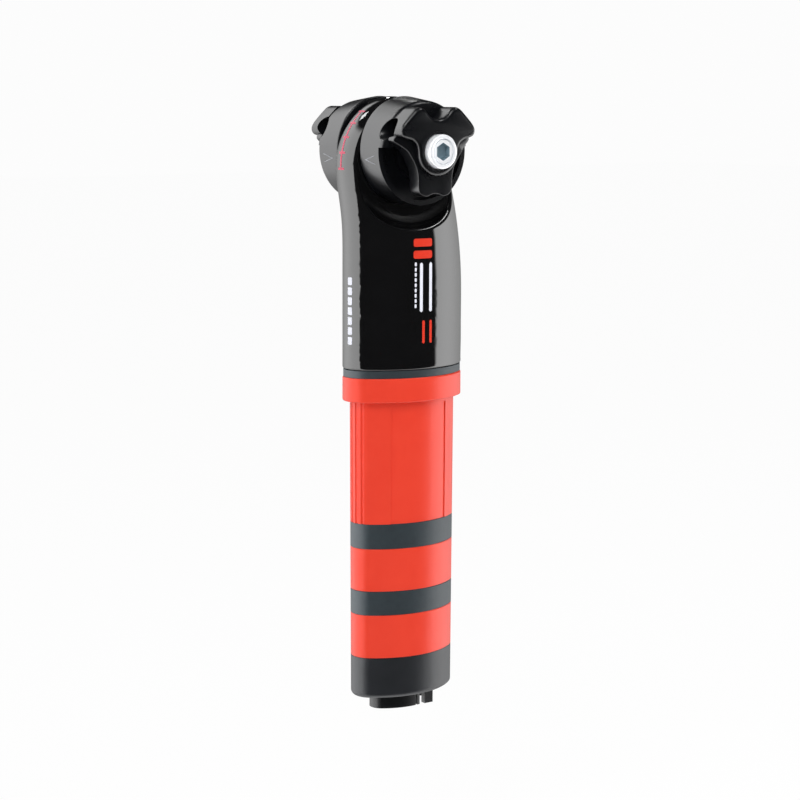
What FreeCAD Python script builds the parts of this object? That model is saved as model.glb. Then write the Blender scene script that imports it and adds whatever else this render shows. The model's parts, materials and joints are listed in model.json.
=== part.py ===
"""Seatpost head with an expanding plug, for a frame with an oval seat mast.

Millimetres. The origin is the centre of the oval plug, in the plane where the
collar rests on the rim of the mast. +Z points up, +X forward, +Y to the left.
"""
import FreeCAD
import Part
import math
import os

from FreeCAD import Vector

# Driving dimensions: the oval post body and the collar under it
body_half_length = 26.5
body_half_width = 16.3
body_nose_radius = 10.5
body_wall = 2.5
collar_height = 9.5
collar_edge_round = 0.6
gasket_thickness = 3.0
gasket_inset = 0.3

# Driving dimensions: the oval plug that goes into the mast
plug_half_length = 23.4
plug_half_width = 13.8
plug_nose_radius = 8.6
plug_draft_deg = 0.25
sleeve_length = 48.2
upper_band_height = 9.9
middle_ring_height = 17.0
lower_band_height = 9.6
lower_ring_height = 17.3
end_cap_height = 16.5
end_cap_round = 2.2
end_cap_pocket_share = 0.6
ring_edge_round = 0.3

# Driving dimensions: flutes on the noses of the sleeve and the panel on its flanks
flute_count = 4
flute_pitch_deg = 19.0
flute_radius = 0.9
flute_depth = 0.45
panel_half_length = 13.2
panel_depth = 0.35
panel_top_gap = 1.5

# Driving dimensions: the oval spine inside the plug
spine_half_length = 14.5
spine_half_width = 8.0
spine_nose_radius = 5.0
spine_wall = 2.3
spine_plate = 7.0
spine_flange_height = 3.5
spine_flange_seat = 3.0
tail_length = 5.6
relief_slit_width = 0.8
relief_slit_length = 12.0
relief_slit_x = 1.9
slide_clearance = 0.3
seat_clearance = 0.15

# Driving dimensions: the spigot that joins the collar to the post body
spigot_height = 14.5
spigot_wall = 3.0

# Driving dimensions: the draw bolt, its washer and its nut
draw_bolt_x = 7.0
draw_bolt_radius = 2.95
draw_bolt_head_radius = 5.0
draw_bolt_head_height = 6.0
draw_bolt_socket_flats = 5.0
draw_bolt_socket_depth = 3.2
draw_bolt_head_bevel = 0.5
draw_bolt_end_bevel = 0.6
draw_washer_radius = 5.9
draw_washer_thickness = 1.2
draw_nut_height = 8.0
draw_nut_half_length = 5.0
draw_arm_x = 8.0
draw_arm_width = 4.0
draw_arm_height = 5.0
draw_arm_reach = 2.4
draw_arm_clearance = 0.25
draw_leg_half_width = 8.0
draw_leg_gap = 2.3
draw_travel = 2.0
thread_clearance = 0.07
bolt_hole_clearance = 0.35

# Driving dimensions: the head
pivot_setback = 5.4
pivot_height = 97.1
head_radius = 20.5
head_rear_radius = 27.5
head_front_blend_deg = 22.8
head_rear_blend_deg = 118.0
head_half_thickness = 6.5
head_section_count = 3
neck_section_count = 10
cavity_section_count = 6
head_join_tolerance = 0.02
neck_bottom_z = 58.0
scoop_disc_clearance = 2.3
scoop_cove_radius = 6.8
scoop_lip_round = 1.6
cavity_top_z = 62.5
tool_channel_radius = 3.2

# Driving dimensions: the cross bore with its liner and sleeve
clamp_bolt_radius = 3.95
clamp_bolt_clearance = 0.3
cross_sleeve_wall = 1.2
pivot_liner_wall = 1.1
running_clearance = 0.05
liner_flange_gap = 0.05

# Driving dimensions: the clamp discs and their friction rings
friction_ring_thickness = 0.6
friction_ring_radius = 17.5
friction_ring_bore = 8.2
disc_radius = 20.7
disc_rim_y = 19.4
disc_rim_width = 2.0
disc_bowl_depth = 2.6
disc_back_round = 0.8
disc_boss_radius = 11.5
jaw_bottom_height = 1.5
jaw_round = 2.6
jaw_top_drop = 1.9
sleeve_seat_depth = 4.0

# Driving dimensions: the saddle rails and the grooves that hold them
rail_radius = 3.5
rail_spacing = 44.1
rail_height = 9.0
jaw_gap = 0.1
groove_mouth_radius = 5.3
groove_mouth_length = 4.5
groove_mouth_bend = 0.45
groove_mouth_sag = 0.22

# Driving dimensions: the rail caps
cap_thickness = 5.9
cap_skirt_height = 3.5
cap_edge_round = 0.8
cap_wing_half_length = 20.0
cap_notch_z = 10.4
cap_notch_round = 5.0
cap_foot_notch_z = -16.4
cap_foot_notch_round = 6.0
cap_face_notch_z = 10.6
cap_face_notch_round = 4.5
cap_face_foot_notch_z = -15.9
cap_hub_radius = 9.0
cap_hub_depth = 6.0
cap_boss_radius = 9.7
cap_boss_height = 1.2
cap_foot_half_length = 5.0
cap_foot_height = 3.2
cap_foot_z = -15.7
foot_gap = 0.1

# Corners of the front half of a rail cap, from its tip down to its foot:
# forward of the pivot, above the pivot, and the radius that rounds the corner.
# The first list is the skirt over the rail, and the second its narrower face.
cap_corners = [
    (7.3, 17.6, 3.6),
    (cap_wing_half_length - 3.7, 14.6, 7.0),
    (cap_wing_half_length + 1.0, 8.4, 3.4),
    (cap_wing_half_length - 1.2, 4.6, 2.0),
    (8.9, -1.0, 7.0),
    (8.6, -17.6, 2.8),
]
cap_face_corners = [
    (7.0, 16.6, 3.0),
    (cap_wing_half_length - 6.6, 13.4, 5.0),
    (cap_wing_half_length - 4.1, 8.3, 2.5),
    (cap_wing_half_length - 5.4, 4.4, 2.0),
    (8.2, 3.0, 3.0),
    (8.0, -17.1, 2.2),
]

# Driving dimensions: the clamp bolt, its nut and the cup washers
clamp_bolt_head_radius = 6.5
clamp_bolt_head_height = 5.0
clamp_bolt_head_bevel = 0.6
clamp_bolt_socket_flats = 6.0
clamp_bolt_socket_depth = 3.0
cup_radius = 8.5
cup_floor = 1.0
cup_rim_show = 0.9
cup_bore_clearance = 0.35
cup_head_show = 2.8
clamp_nut_flats = 13.0
clamp_nut_height = 4.0
clamp_bolt_end_show = 3.0

# Heights along the plug, worked out from the pieces stacked under the sleeve
sleeve_bottom = -sleeve_length
upper_band_bottom = sleeve_bottom - upper_band_height
middle_ring_bottom = upper_band_bottom - middle_ring_height
lower_band_bottom = middle_ring_bottom - lower_band_height
lower_ring_bottom = lower_band_bottom - lower_ring_height
end_cap_bottom = lower_ring_bottom - end_cap_height
tail_bottom = end_cap_bottom - tail_length
arm_top_z = end_cap_bottom + end_cap_height * end_cap_pocket_share
arm_end_y = spine_half_width + slide_clearance + draw_arm_reach
body_bottom = collar_height + gasket_thickness
spigot_top = collar_height + spigot_height
spigot_inset = body_wall + seat_clearance
pocket_inset = spigot_inset + spigot_wall
flange_top = spine_flange_seat + spine_flange_height

# The pivot and the arcs that make the side outline of the head
pivot_x = -pivot_setback
pivot_z = pivot_height
front_angle = math.radians(head_front_blend_deg)
rear_angle = math.radians(head_rear_blend_deg)
front_reach = body_half_length - pivot_x - head_radius * math.cos(front_angle)
front_arc_radius = front_reach / (1.0 - math.cos(front_angle))
front_arc_x = pivot_x + (head_radius - front_arc_radius) * math.cos(front_angle)
front_arc_z = pivot_z + (head_radius - front_arc_radius) * math.sin(front_angle)
rear_arc_x = pivot_x + (head_radius - head_rear_radius) * math.cos(rear_angle)
rear_arc_z = pivot_z + (head_radius - head_rear_radius) * math.sin(rear_angle)
neck_top_z = rear_arc_z
neck_lean = head_rear_radius - rear_arc_x - body_half_length
scoop_floor_radius = disc_radius + scoop_disc_clearance
scoop_wall_radius = scoop_floor_radius + scoop_cove_radius

# Radii and places along the clamp axis, each from the piece inside it
bolt_hole_radius = clamp_bolt_radius + clamp_bolt_clearance
cross_sleeve_radius = bolt_hole_radius + cross_sleeve_wall
liner_bore_radius = cross_sleeve_radius + running_clearance
liner_radius = liner_bore_radius + pivot_liner_wall
ring_inner_y = head_half_thickness + running_clearance
disc_back_y = ring_inner_y + friction_ring_thickness
sleeve_end_y = disc_back_y + sleeve_seat_depth
rail_y = rail_spacing / 2.0
disc_face_y = rail_y - jaw_gap / 2.0
cap_back_y = rail_y + jaw_gap / 2.0
cap_skirt_y = cap_back_y + cap_skirt_height
cap_front_y = cap_back_y + cap_thickness
cap_boss_y = cap_front_y + cap_boss_height
cup_top_y = cap_boss_y + cup_rim_show
bolt_top_y = cup_top_y + cup_head_show
bolt_seat_y = bolt_top_y - clamp_bolt_head_height
cup_bottom_y = bolt_seat_y - cup_floor
bowl_floor_y = disc_rim_y - disc_bowl_depth
hub_end_y = cap_back_y - cap_hub_depth
hub_pocket_radius = cap_hub_radius + slide_clearance
hub_pocket_y = hub_end_y - slide_clearance
rail_z = pivot_z + rail_height
groove_half_length = cap_wing_half_length - groove_mouth_length


def save(shape, node):
    """Write one sub-part to its own file and print what it holds."""
    shape.exportStep("parts/" + node + ".step")
    print(node, "solids", len(shape.Solids), "faces", len(shape.Faces),
          "volume", round(shape.Volume, 1))


def arc(start, middle, end):
    """An arc edge through three points."""
    return Part.Arc(start, middle, end).toShape()


def oval(half_length, half_width, nose, z, x=0.0):
    """A closed oval wire: two nose arcs and two flank arcs, all tangent."""
    reach = half_length - nose
    flank = (reach ** 2 + half_width ** 2 - nose ** 2) / (2.0 * (half_width - nose))
    rise = flank - half_width
    span = math.hypot(reach, rise)
    touch_x = reach + nose * reach / span
    touch_y = nose * rise / span
    front_right = Vector(x + touch_x, -touch_y, z)
    front_left = Vector(x + touch_x, touch_y, z)
    rear_left = Vector(x - touch_x, touch_y, z)
    rear_right = Vector(x - touch_x, -touch_y, z)
    return Part.Wire([
        arc(front_right, Vector(x + half_length, 0, z), front_left),
        arc(front_left, Vector(x, half_width, z), rear_left),
        arc(rear_left, Vector(x - half_length, 0, z), rear_right),
        arc(rear_right, Vector(x, -half_width, z), front_right),
    ])


def body_oval(z, inset=0.0):
    """The oval of the post body and collar, drawn in by an inset."""
    return oval(body_half_length - inset, body_half_width - inset, body_nose_radius - inset, z)


def plug_oval(z, inset=0.0):
    """The oval of the plug at a height, a little smaller lower down."""
    shrink = -z * math.tan(math.radians(plug_draft_deg)) + inset
    return oval(plug_half_length - shrink, plug_half_width - shrink, plug_nose_radius - shrink, z)


def spine_oval(z, grow=0.0):
    """The oval of the spine, grown or shrunk evenly."""
    return oval(spine_half_length + grow, spine_half_width + grow, spine_nose_radius + grow, z)


def loft(wires, ruled=True):
    """A solid through a stack of closed wires."""
    return Part.makeLoft(wires, True, ruled)


def prism(section, bottom, top, inset=0.0):
    """A straight or drafted solid between two heights of one oval."""
    return loft([section(bottom, inset), section(top, inset)])


def cylinder_y(radius, start_y, end_y, x=pivot_x, z=pivot_z):
    """A cylinder along Y between two places."""
    return Part.makeCylinder(radius, end_y - start_y, Vector(x, start_y, z), Vector(0, 1, 0))


def hexagon_prism(flats, height, base, axis):
    """A hexagonal prism with a given distance across its flats."""
    corner = flats / 2.0 / math.cos(math.pi / 6.0)
    points = []
    for step in range(7):
        turn = step * math.pi / 3.0
        points.append(Vector(corner * math.cos(turn), corner * math.sin(turn), 0))
    solid = Part.Face(Part.makePolygon(points)).extrude(Vector(0, 0, height))
    solid.Placement = FreeCAD.Placement(base, FreeCAD.Rotation(Vector(0, 0, 1), axis))
    return solid


def mirrored(shape):
    """The same shape on the right side of the post."""
    return shape.mirror(Vector(0, 0, 0), Vector(0, 1, 0))


def edges_at_height(shape, z, tolerance=0.01):
    """Edges that lie wholly at one height."""
    found = []
    for edge in shape.Edges:
        box = edge.BoundBox
        if abs(box.ZMin - z) < tolerance and abs(box.ZMax - z) < tolerance:
            found.append(edge)
    return found


def edges_at_y(shape, y, tolerance=0.01):
    """Edges that lie wholly at one place across the post."""
    found = []
    for edge in shape.Edges:
        box = edge.BoundBox
        if abs(box.YMin - y) < tolerance and abs(box.YMax - y) < tolerance:
            found.append(edge)
    return found


def front_x(z):
    """Front of the body's side outline at a height."""
    if z <= front_arc_z:
        return body_half_length
    return front_arc_x + math.sqrt(front_arc_radius ** 2 - (z - front_arc_z) ** 2)


def rear_x(z):
    """Rear of the body's side outline: straight, then leaning back to meet the head."""
    share = max(0.0, (z - neck_bottom_z) / (neck_top_z - neck_bottom_z))
    return -body_half_length - neck_lean * share ** 3 * (4.0 - 3.0 * share)


def neck_oval(z, inset=0.0):
    """The oval of the post body at a height between its foot and its head."""
    front = front_x(z) - inset
    rear = rear_x(z) + inset
    half_length = (front - rear) / 2.0
    return oval(half_length, body_half_width - inset, body_nose_radius - inset, z,
                (front + rear) / 2.0)


def neck_solid(bottom, top, sections, inset=0.0):
    """The post body between two heights, as one smooth loft."""
    wires = []
    for step in range(sections + 1):
        z = bottom + (top - bottom) * step / sections
        wires.append(neck_oval(z, inset))
    return loft(wires, ruled=False)


def head_outline(y):
    """Side outline of the head at one place across it, lower at the sides than at the crown."""
    drop = body_nose_radius - math.sqrt(body_nose_radius ** 2 - y ** 2)
    top_radius = head_radius - drop
    rear_radius = head_rear_radius - drop
    front_radius = front_arc_radius - drop
    middle_angle = (front_angle + rear_angle) / 2.0
    rear_middle = (rear_angle + math.pi) / 2.0
    foot_angle = math.asin((neck_top_z - front_arc_z) / front_arc_radius)
    front_middle = (foot_angle + front_angle) / 2.0

    def on(cx, cz, radius, angle):
        return Vector(cx + radius * math.cos(angle), y, cz + radius * math.sin(angle))

    front_foot = Vector(front_x(neck_top_z) - drop, y, neck_top_z)
    front_top = on(pivot_x, pivot_z, top_radius, front_angle)
    rear_top = on(pivot_x, pivot_z, top_radius, rear_angle)
    rear_foot = on(rear_arc_x, rear_arc_z, rear_radius, math.pi)
    return Part.Wire([
        arc(front_foot, on(front_arc_x, front_arc_z, front_radius, front_middle), front_top),
        arc(front_top, on(pivot_x, pivot_z, top_radius, middle_angle), rear_top),
        arc(rear_top, on(rear_arc_x, rear_arc_z, rear_radius, rear_middle), rear_foot),
        Part.LineSegment(rear_foot, front_foot).toShape(),
    ])


def scoop():
    """The round hollow that clears the clamp disc on the left side of the head."""
    deep = body_half_width + 10.0
    wall_y = head_half_thickness + scoop_cove_radius
    bend = math.sqrt(0.5) * scoop_cove_radius

    def at(radius, y):
        return Vector(pivot_x + radius, y, pivot_z)

    profile = Part.Wire([
        Part.LineSegment(at(0, head_half_thickness), at(scoop_floor_radius, head_half_thickness)).toShape(),
        arc(at(scoop_floor_radius, head_half_thickness),
            at(scoop_floor_radius + bend, wall_y - bend),
            at(scoop_wall_radius, wall_y)),
        Part.LineSegment(at(scoop_wall_radius, wall_y), at(scoop_wall_radius, deep)).toShape(),
        Part.LineSegment(at(scoop_wall_radius, deep), at(0, deep)).toShape(),
        Part.LineSegment(at(0, deep), at(0, head_half_thickness)).toShape(),
    ])
    face = Part.Face(profile)
    return face.revolve(Vector(pivot_x, 0, pivot_z), Vector(0, 1, 0), 360)


def scoop_edges(body, tolerance=0.2):
    """Sharp edges of the scooped head: the lips of the hollows and the rims of the crown."""
    found = []
    for edge in body.Edges:
        middle = edge.valueAt((edge.FirstParameter + edge.LastParameter) / 2.0)
        reach = math.hypot(middle.x - pivot_x, middle.z - pivot_z)
        on_lip = abs(reach - scoop_wall_radius) < tolerance and middle.z < neck_top_z
        on_rim = abs(abs(middle.y) - head_half_thickness) < tolerance and middle.z > neck_top_z
        if on_lip or on_rim:
            found.append(edge)
    return found


def post_body():
    """Hollow oval body whose head is scooped on both sides for the clamp discs."""
    neck = neck_solid(body_bottom, neck_top_z, neck_section_count)
    hollow = scoop()
    neck = neck.cut(hollow).cut(mirrored(hollow))
    slab_sections = []
    for step in range(-head_section_count, head_section_count + 1):
        slab_sections.append(head_outline(head_half_thickness * step / head_section_count))
    slab = loft(slab_sections, ruled=False)
    body = neck.fuse([slab], head_join_tolerance).removeSplitter()
    body = body.makeFillet(scoop_lip_round, scoop_edges(body))
    cavity = neck_solid(body_bottom - 1.0, cavity_top_z, cavity_section_count, body_wall)
    channel = Part.makeCylinder(tool_channel_radius, pivot_z + head_radius - cavity_top_z + 10.0,
                                Vector(draw_bolt_x, 0, cavity_top_z - 5.0))
    bore = cylinder_y(liner_radius, -body_half_width, body_half_width)
    return body.cut(cavity).cut(channel).cut(bore)


def collar_sleeve():
    """Red collar with its spigot above and the fluted sleeve of the plug below."""
    collar = prism(body_oval, 0.0, collar_height)
    edges = edges_at_height(collar, 0.0) + edges_at_height(collar, collar_height)
    collar = collar.makeFillet(collar_edge_round, edges)
    spigot = prism(body_oval, collar_height - 1.0, spigot_top, spigot_inset)
    sleeve = prism(plug_oval, sleeve_bottom, 1.0)
    panel = prism(plug_oval, sleeve_bottom - 1.0, -panel_top_gap)
    panel = panel.cut(prism(plug_oval, sleeve_bottom - 2.0, 0.0, panel_depth))
    keep = Part.makeBox(2 * panel_half_length, 4 * plug_half_width, 2 * sleeve_length,
                        Vector(-panel_half_length, -2 * plug_half_width, -2 * sleeve_length))
    sleeve = sleeve.cut(panel.common(keep))
    nose_centre = plug_half_length - plug_nose_radius
    groove_centre = plug_nose_radius + flute_radius - flute_depth
    for end in (-1, 1):
        for index in range(flute_count):
            turn = math.radians((index - (flute_count - 1) / 2.0) * flute_pitch_deg)
            foot = Vector(end * (nose_centre + groove_centre * math.cos(turn)),
                          groove_centre * math.sin(turn), 0)
            slope = Vector(-end * math.cos(turn), -math.sin(turn), 0)
            slope = slope * math.tan(math.radians(plug_draft_deg)) + Vector(0, 0, -1)
            sleeve = sleeve.cut(Part.makeCylinder(flute_radius, sleeve_length + 2.0, foot, slope))
    body = collar.fuse(sleeve).fuse(spigot).removeSplitter()
    pocket = prism(body_oval, spine_flange_seat, spigot_top + 1.0, pocket_inset)
    tunnel = prism(spine_oval, sleeve_bottom - 1.0, spine_flange_seat + 1.0, seat_clearance)
    return body.cut(pocket).cut(tunnel)


def damper_gasket():
    """Soft ring between the collar and the post body."""
    outer = prism(body_oval, collar_height, body_bottom, gasket_inset)
    inner = prism(body_oval, collar_height - 1.0, body_bottom + 1.0, body_wall)
    return outer.cut(inner)


def spine():
    """Hollow oval core that carries the rings, with a slotted tail below the end cap."""
    core = prism(spine_oval, tail_bottom, spine_flange_seat + 0.5)
    flange = prism(body_oval, spine_flange_seat, flange_top, pocket_inset + slide_clearance)
    core = core.fuse(flange).removeSplitter()
    cavity = prism(spine_oval, tail_bottom - 1.0, flange_top - spine_plate, -spine_wall)
    hole = Part.makeCylinder(draw_bolt_radius + bolt_hole_clearance, 4 * spine_plate,
                             Vector(draw_bolt_x, 0, flange_top - 2 * spine_plate))
    core = core.cut(cavity).cut(hole)
    slot_rear = draw_arm_x - draw_arm_width / 2.0 - draw_leg_gap
    slot_front = draw_arm_x + draw_arm_width / 2.0 + draw_arm_clearance
    slot_top = arm_top_z + draw_travel + draw_arm_clearance
    slot = Part.makeBox(slot_front - slot_rear, 4 * spine_half_width, slot_top - tail_bottom + 1.0,
                        Vector(slot_rear, -2 * spine_half_width, tail_bottom - 1.0))
    slit = Part.makeBox(relief_slit_width, 4 * spine_half_width, relief_slit_length + 1.0,
                        Vector(relief_slit_x - relief_slit_width / 2.0, -2 * spine_half_width,
                               tail_bottom - 1.0))
    return core.cut(slot).cut(slit)


def plug_ring(bottom, top, edge_round):
    """A ring of the plug that slides on the spine."""
    ring = prism(plug_oval, bottom, top)
    if edge_round > 0:
        ring = ring.makeFillet(edge_round, edges_at_height(ring, bottom) + edges_at_height(ring, top))
    return ring.cut(prism(spine_oval, bottom - 1.0, top + 1.0, slide_clearance))


def end_cap():
    """Black foot of the plug, rounded below, with pockets for the arms of the draw nut."""
    cap = prism(plug_oval, end_cap_bottom, lower_ring_bottom)
    cap = cap.makeFillet(end_cap_round, edges_at_height(cap, end_cap_bottom))
    cap = cap.cut(prism(spine_oval, end_cap_bottom - 1.0, lower_ring_bottom + 1.0, slide_clearance))
    pocket_width = draw_arm_width + 2 * draw_arm_clearance
    pocket_reach = arm_end_y + draw_arm_clearance
    pocket = Part.makeBox(pocket_width, 2 * pocket_reach, arm_top_z - end_cap_bottom + 1.0,
                          Vector(draw_arm_x - pocket_width / 2.0, -pocket_reach,
                                 end_cap_bottom - 1.0))
    return cap.cut(pocket)


def draw_nut():
    """Threaded block inside the spine, with an arm and a leg through each side slot."""
    top = arm_top_z
    block = prism(spine_oval, top - draw_nut_height, top, -spine_wall - slide_clearance)
    window = Part.makeBox(2 * draw_nut_half_length, 4 * spine_half_width, 4 * draw_nut_height,
                          Vector(draw_bolt_x - draw_nut_half_length, -2 * spine_half_width,
                                 top - 2 * draw_nut_height))
    block = block.common(window)
    arms = Part.makeBox(draw_arm_width, 2 * arm_end_y, draw_arm_height,
                        Vector(draw_arm_x - draw_arm_width / 2.0, -arm_end_y,
                               top - draw_arm_height))
    legs = Part.makeBox(draw_arm_width, 2 * draw_leg_half_width, top - tail_bottom,
                        Vector(draw_arm_x - draw_arm_width / 2.0, -draw_leg_half_width, tail_bottom))
    inner_half_width = spine_half_width - spine_wall
    between = Part.makeBox(2 * draw_arm_width, 2 * inner_half_width, top - draw_nut_height - tail_bottom + 1.0,
                           Vector(draw_arm_x - draw_arm_width, -inner_half_width, tail_bottom - 1.0))
    legs = legs.cut(between)
    thread = Part.makeCylinder(draw_bolt_radius + thread_clearance, 4 * draw_nut_height,
                               Vector(draw_bolt_x, 0, top - 2 * draw_nut_height))
    return block.fuse(arms).fuse(legs).removeSplitter().cut(thread)


def draw_washer():
    """Flat washer under the head of the draw bolt."""
    disc = Part.makeCylinder(draw_washer_radius, draw_washer_thickness,
                             Vector(draw_bolt_x, 0, flange_top))
    hole = Part.makeCylinder(draw_bolt_radius + bolt_hole_clearance, 4 * draw_washer_thickness,
                             Vector(draw_bolt_x, 0, flange_top - draw_washer_thickness))
    return disc.cut(hole)


def draw_bolt():
    """Long socket-head bolt that pulls the draw nut up the spine."""
    seat = flange_top + draw_washer_thickness
    end = arm_top_z - draw_nut_height - draw_travel
    shank = Part.makeCylinder(draw_bolt_radius, seat - end + 1.0, Vector(draw_bolt_x, 0, end))
    head = Part.makeCylinder(draw_bolt_head_radius, draw_bolt_head_height,
                             Vector(draw_bolt_x, 0, seat))
    head = head.makeChamfer(draw_bolt_head_bevel, edges_at_height(head, seat + draw_bolt_head_height))
    shank = shank.makeChamfer(draw_bolt_end_bevel, edges_at_height(shank, end))
    socket_z = seat + draw_bolt_head_height - draw_bolt_socket_depth
    socket = hexagon_prism(draw_bolt_socket_flats, draw_bolt_socket_depth + 1.0,
                           Vector(draw_bolt_x, 0, socket_z), Vector(0, 0, 1))
    return shank.fuse(head).removeSplitter().cut(socket)


def pivot_liner():
    """Bush pressed in the cross bore of the head."""
    end = head_half_thickness - liner_flange_gap
    tube = cylinder_y(liner_radius, -end, end)
    return tube.cut(cylinder_y(liner_bore_radius, -2 * end, 2 * end))


def cross_sleeve():
    """Tube round the clamp bolt that keys both discs to one axis."""
    tube = cylinder_y(cross_sleeve_radius, -sleeve_end_y, sleeve_end_y)
    return tube.cut(cylinder_y(bolt_hole_radius, -2 * sleeve_end_y, 2 * sleeve_end_y))


def friction_ring():
    """Left friction ring, between the head and the clamp disc."""
    ring = cylinder_y(friction_ring_radius, ring_inner_y, disc_back_y)
    return ring.cut(cylinder_y(friction_ring_bore, 0, 2 * disc_back_y))


def rail_groove():
    """The round way of one saddle rail, flared at both ends."""
    half = groove_half_length
    mouth = groove_mouth_radius
    far = half + groove_mouth_length
    bend = half + groove_mouth_length * groove_mouth_bend
    sag = (mouth - rail_radius) * groove_mouth_sag

    def at(x, radius):
        return Vector(pivot_x + x, rail_y + radius, rail_z)

    points = [
        Part.LineSegment(at(-far - 5.0, 0), at(-far - 5.0, mouth)).toShape(),
        Part.LineSegment(at(-far - 5.0, mouth), at(-far, mouth)).toShape(),
        arc(at(-far, mouth), at(-bend, rail_radius + sag), at(-half, rail_radius)),
        Part.LineSegment(at(-half, rail_radius), at(half, rail_radius)).toShape(),
        arc(at(half, rail_radius), at(bend, rail_radius + sag), at(far, mouth)),
        Part.LineSegment(at(far, mouth), at(far + 5.0, mouth)).toShape(),
        Part.LineSegment(at(far + 5.0, mouth), at(far + 5.0, 0)).toShape(),
        Part.LineSegment(at(far + 5.0, 0), at(-far - 5.0, 0)).toShape(),
    ]
    face = Part.Face(Part.Wire(points))
    return face.revolve(Vector(pivot_x, rail_y, rail_z), Vector(1, 0, 0), 360)


def circle_y(radius, y, drop):
    """A circle wire about the clamp axis, lowered by a drop."""
    centre = Vector(pivot_x, y, pivot_z - drop)
    return Part.Wire(Part.makeCircle(radius, centre, Vector(0, 1, 0)))


def clamp_disc():
    """Left clamp disc: a shallow bowl below, and above it the lower rail jaw, lower at its front."""
    above = Part.makeBox(4 * disc_radius, 4 * disc_radius, 2 * disc_radius,
                         Vector(pivot_x - 2 * disc_radius, 0, pivot_z + jaw_bottom_height))
    disc = cylinder_y(disc_radius, disc_back_y, disc_rim_y)
    disc = disc.makeFillet(disc_back_round, edges_at_y(disc, disc_back_y))
    bowl = cylinder_y(disc_radius - disc_rim_width, bowl_floor_y, disc_rim_y + 1.0)
    bowl = bowl.cut(cylinder_y(disc_boss_radius, 0, disc_rim_y))
    disc = disc.cut(bowl).cut(above)
    jaw = loft([circle_y(disc_radius, disc_back_y, 0.0),
                circle_y(disc_radius, disc_face_y, jaw_top_drop)])
    jaw = jaw.makeFillet(disc_back_round, edges_at_y(jaw, disc_back_y))
    jaw = jaw.makeFillet(jaw_round, edges_at_y(jaw, disc_face_y))
    disc = disc.fuse(jaw.common(above)).removeSplitter()
    disc = disc.cut(cylinder_y(hub_pocket_radius, hub_pocket_y, 2 * disc_face_y))
    disc = disc.cut(cylinder_y(bolt_hole_radius, 0, 2 * disc_face_y))
    disc = disc.cut(cylinder_y(cross_sleeve_radius, 0, sleeve_end_y))
    return disc.cut(rail_groove())


def rounded_outline(corners):
    """A closed wire through corners given as point and radius, each rounded by a tangent arc."""
    count = len(corners)
    starts = []
    middles = []
    ends = []
    for index in range(count):
        point, radius = corners[index]
        before = (corners[index - 1][0] - point).normalize()
        after = (corners[(index + 1) % count][0] - point).normalize()
        half_angle = before.getAngle(after) / 2.0
        inward = (before + after).normalize()
        reach = radius / math.tan(half_angle)
        starts.append(point + before * reach)
        ends.append(point + after * reach)
        middles.append(point + inward * (radius / math.sin(half_angle) - radius))
    edges = []
    for index in range(count):
        edges.append(arc(starts[index], middles[index], ends[index]))
        edges.append(Part.LineSegment(ends[index], starts[(index + 1) % count]).toShape())
    return Part.Wire(edges)


def cap_outline(y, side, notch_z, notch_round, foot_notch_z):
    """Outline of a rail cap from the corners of one side: two wings, a notch and a lower lobe."""
    corners = [(Vector(pivot_x, y, pivot_z + notch_z), notch_round)]
    for x, z, radius in side:
        corners.append((Vector(pivot_x + x, y, pivot_z + z), radius))
    corners.append((Vector(pivot_x, y, pivot_z + foot_notch_z), cap_foot_notch_round))
    for x, z, radius in reversed(side):
        corners.append((Vector(pivot_x - x, y, pivot_z + z), radius))
    return rounded_outline(corners)


def cap_skirt(y):
    """The wide outline of a rail cap, at one place across the post."""
    return cap_outline(y, cap_corners, cap_notch_z, cap_notch_round, cap_foot_notch_z)


def cap_face(y):
    """The narrower outline of the face of a rail cap, at one place across the post."""
    return cap_outline(y, cap_face_corners, cap_face_notch_z, cap_face_notch_round,
                       cap_face_foot_notch_z)


def rail_cap():
    """Left rail cap: clamps one rail against the disc and seats the clamp bolt."""
    plate = Part.Face(cap_face(cap_back_y)).extrude(Vector(0, cap_thickness, 0))
    plate = plate.makeFillet(cap_edge_round, edges_at_y(plate, cap_front_y))
    skirt = Part.Face(cap_skirt(cap_back_y)).extrude(Vector(0, cap_skirt_height, 0))
    slope = loft([cap_skirt(cap_skirt_y), cap_face(cap_front_y - cap_edge_round)])
    boss = cylinder_y(cap_boss_radius, cap_back_y + 1.0, cap_boss_y)
    hub = cylinder_y(cap_hub_radius, hub_end_y, cap_back_y + 1.0)
    foot = Part.makeBox(2 * cap_foot_half_length, cap_back_y - disc_rim_y - foot_gap + 1.0,
                        cap_foot_height,
                        Vector(pivot_x - cap_foot_half_length, disc_rim_y + foot_gap,
                               pivot_z + cap_foot_z))
    cap = skirt.fuse(slope).fuse(plate).fuse(boss).fuse(hub).fuse(foot).removeSplitter()
    cap = cap.cut(rail_groove())
    cap = cap.cut(cylinder_y(cup_radius, cup_bottom_y, 2 * cap_boss_y))
    return cap.cut(cylinder_y(bolt_hole_radius, 0, 2 * cap_boss_y))


def bolt_cup():
    """Cup washer that the head of the clamp bolt sits in, on the left side."""
    cup = cylinder_y(cup_radius, cup_bottom_y, cup_top_y)
    cup = cup.cut(cylinder_y(clamp_bolt_head_radius + cup_bore_clearance, bolt_seat_y, 2 * cup_top_y))
    return cup.cut(cylinder_y(bolt_hole_radius, 0, 2 * cup_top_y))


def nut_cup():
    """Cup washer with a hexagonal pocket that holds the clamp nut."""
    cup = cylinder_y(cup_radius, cup_bottom_y, cup_top_y)
    pocket = hexagon_prism(clamp_nut_flats + 2 * running_clearance, 4 * cap_thickness,
                           Vector(pivot_x, bolt_seat_y, pivot_z), Vector(0, 1, 0))
    return cup.cut(pocket).cut(cylinder_y(bolt_hole_radius, 0, 2 * cup_top_y))


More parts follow.
